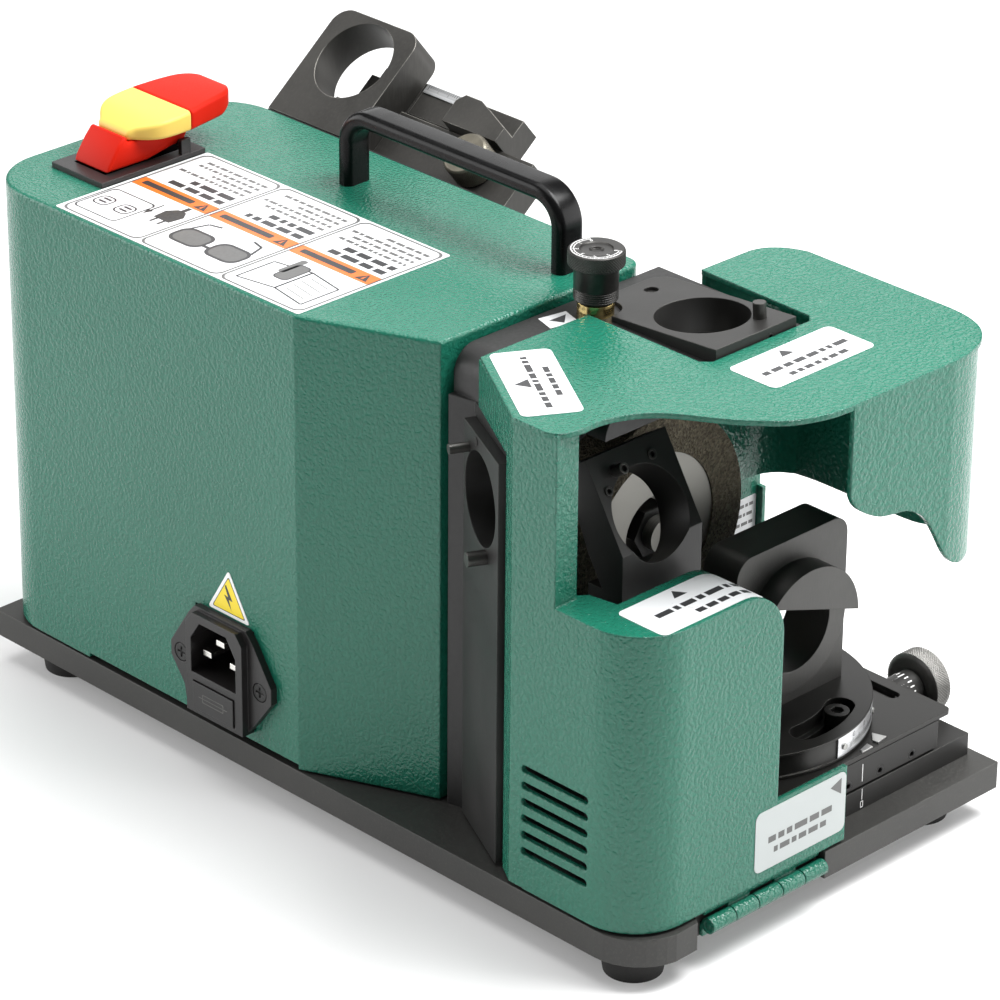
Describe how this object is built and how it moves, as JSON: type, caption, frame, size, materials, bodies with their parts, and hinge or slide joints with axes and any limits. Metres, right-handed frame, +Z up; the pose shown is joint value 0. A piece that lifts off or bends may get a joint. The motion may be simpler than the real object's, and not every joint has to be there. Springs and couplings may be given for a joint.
{
  "type": "bench grinder",
  "caption": "Compact bench grinder for re-sharpening end mills: green sheet housing, tip-forward wheel cover, fixed collet seats, swivelling cross slide and a presetting fixture.",
  "frame": {"origin": "centre of the bounding box at the underside of the rubber feet", "axes": "+Z up, +Y from the operator's end to the back of the motor housing, +X to the operator's right"},
  "size_m": [0.1888, 0.3296, 0.2174],
  "materials": {
    "green_paint": "hammered",
    "black_oxide_steel": "black oxide",
    "black_cast": "blackened",
    "black_gloss": "semi-gloss",
    "black_plastic": "moulded",
    "rubber": "matte",
    "red_plastic": "semi-gloss",
    "yellow_plastic": "semi-gloss",
    "bright_steel": "ground",
    "knurled_steel": "knurled, darkened",
    "brass": "turned",
    "nickel_pin": "plated",
    "abrasive": "coarse grit in a bond",
    "aluminium": "machined",
    "satin_aluminium": "engraved scale",
    "label": "printed film",
    "core_steel": "laminated",
    "glass": "clear"
  },
  "bodies": {
    "machine": {"motor_housing": "green_paint", "hinge_base_leaf": "green_paint", "hinge_pin": "green_paint", "base_plate": "black_oxide_steel", "left_seat": "black_oxide_steel", "top_seat": "black_oxide_steel", "front_seat": "black_oxide_steel", "slide_base": "black_oxide_steel", "presetter_bracket": "black_oxide_steel", "presetter_seat": "black_oxide_steel", "presetter_rail": "black_oxide_steel", "handle_screws": "black_oxide_steel", "foot_screws": "black_oxide_steel", "motor_mount_screws": "black_oxide_steel", "presetter_screws": "black_oxide_steel", "inlet_screws": "black_oxide_steel", "head_casting": "black_cast", "handle": "black_gloss", "rubber_feet": "rubber", "switch_body": "black_plastic", "inlet_body": "black_plastic", "inlet_pins": "nickel_pin", "dial_brass_ring": "brass", "seat_index_pins": "bright_steel", "seat_screws": "bright_steel", "spindle_bearings": "bright_steel", "motor_casing": "aluminium", "feed_sleeve": "satin_aluminium", "machine_labels": "label", "motor_stator": "core_steel"},
    "head_cover_body": {"head_cover": "green_paint", "hinge_cover_leaf": "green_paint", "cover_labels": "label"},
    "spindle": {"spindle_shaft": "bright_steel", "wheel_abrasive": "abrasive", "wheel_hub": "aluminium", "wheel_nut": "bright_steel", "motor_rotor": "core_steel"},
    "switch_rocker": {"switch_paddle": "red_plastic"},
    "switch_lock_key": {"switch_key": "yellow_plastic"},
    "fuse_holder": {"fuse_drawer": "black_plastic", "fuses": "glass"},
    "top_dial": {"dial_knob": "knurled_steel"},
    "cross_slide_body": {"cross_slide": "black_oxide_steel", "slide_gib": "black_oxide_steel", "gib_screws": "black_oxide_steel", "feed_nut": "brass", "slide_top_plate": "black_oxide_steel", "turntable_clamp_screw": "black_oxide_steel", "angle_pointers": "bright_steel"},
    "feed_thimble_body": {"feed_screw": "bright_steel", "feed_thimble": "knurled_steel"},
    "swivel": {"turntable": "black_oxide_steel", "angle_scale": "satin_aluminium", "scale_rivets": "bright_steel", "cutting_face_holder": "black_oxide_steel"},
    "preset_stop": {"presetter_stop_slide": "black_oxide_steel", "presetter_scale_plate": "satin_aluminium"},
    "preset_lock": {"presetter_lock_wheel": "knurled_steel"}
  },
  "joints": [
    {"name": "cover_hinge", "type": "hinge", "parent": "machine", "child": "head_cover_body", "pos_m": [-0.02775, -0.154, 0.015], "axis": [1, 0, 0], "range_deg": [0, 90]},
    {"name": "spindle_spin", "type": "hinge", "parent": "machine", "child": "spindle", "pos_m": [-0.01565, -0.0825, 0.1194], "axis": [0, 1, 0], "continuous": true},
    {"name": "switch_rock", "type": "hinge", "parent": "machine", "child": "switch_rocker", "pos_m": [-0.02775, 0.1384, 0.1934], "axis": [0, 1, 0], "range_deg": [0, 10]},
    {"name": "key_pull", "type": "slide", "parent": "switch_rocker", "child": "switch_lock_key", "axis": [0, 0, 1], "range_m": [0, 0.012]},
    {"name": "fuse_drawer_pull", "type": "slide", "parent": "machine", "child": "fuse_holder", "axis": [-1, 0, 0], "range_m": [0, 0.018]},
    {"name": "dial_turn", "type": "hinge", "parent": "machine", "child": "top_dial", "pos_m": [-0.01185, -0.057, 0.196], "axis": [0, 0, 1], "range_deg": [-300, 0]},
    {"name": "thimble_turn", "type": "hinge", "parent": "machine", "child": "feed_thimble_body", "pos_m": [0.08125, -0.1152, 0.034], "axis": [1, 0, 0], "range_deg": [-3600, 0]},
    {"name": "cross_feed", "type": "slide", "parent": "machine", "child": "cross_slide_body", "axis": [1, 0, 0], "range_m": [-0.01, 0]},
    {"name": "angle_swivel", "type": "hinge", "parent": "cross_slide_body", "child": "swivel", "pos_m": [0.01725, -0.0935, 0.047], "axis": [0, 0, 1], "range_deg": [-3, 25]},
    {"name": "preset_stop_travel", "type": "slide", "parent": "machine", "child": "preset_stop", "axis": [0, -1, 0], "range_m": [-0.0025, 0.008]},
    {"name": "preset_lock_turn", "type": "hinge", "parent": "machine", "child": "preset_lock", "pos_m": [0.03979, 0.055, 0.19016], "axis": [-0.6293, 0, 0.7771], "range_deg": [-90, 0]}
  ],
  "couplings": [
    {"joint": "thimble_turn", "follows": "cross_feed", "rad_per_m": 6283.2}
  ]
}
